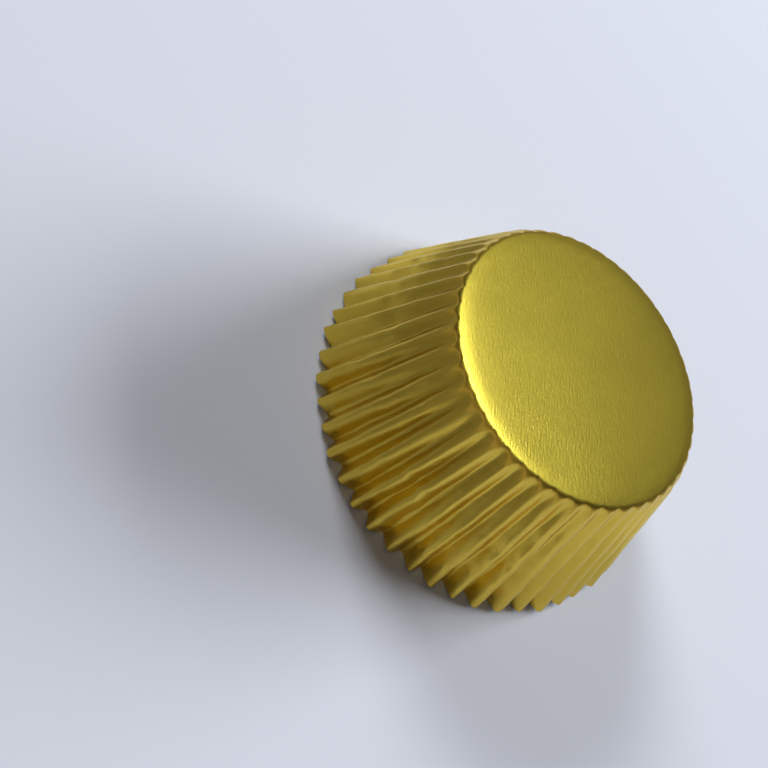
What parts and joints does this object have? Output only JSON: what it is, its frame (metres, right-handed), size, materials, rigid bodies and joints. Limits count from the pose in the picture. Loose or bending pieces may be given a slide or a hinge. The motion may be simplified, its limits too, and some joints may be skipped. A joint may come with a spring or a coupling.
{
  "type": "cupcake liner",
  "caption": "Fluted foil-and-paper baking cup, lying upside down on its open rim with its flat base on top.",
  "frame": {"origin": "middle of the rim's plane, on the surface that the inverted cup lies on", "axes": "+Z along the cup's axis, out of the base; X and Y across the cup, with a ridge's middle on +X"},
  "size_m": [0.0722, 0.0723, 0.0281],
  "materials": {
    "foil_laminate": "satin gold-lacquered foil outside, plain white paper inside"
  },
  "bodies": {
    "root": {"liner": "foil_laminate"}
  },
  "joints": []
}
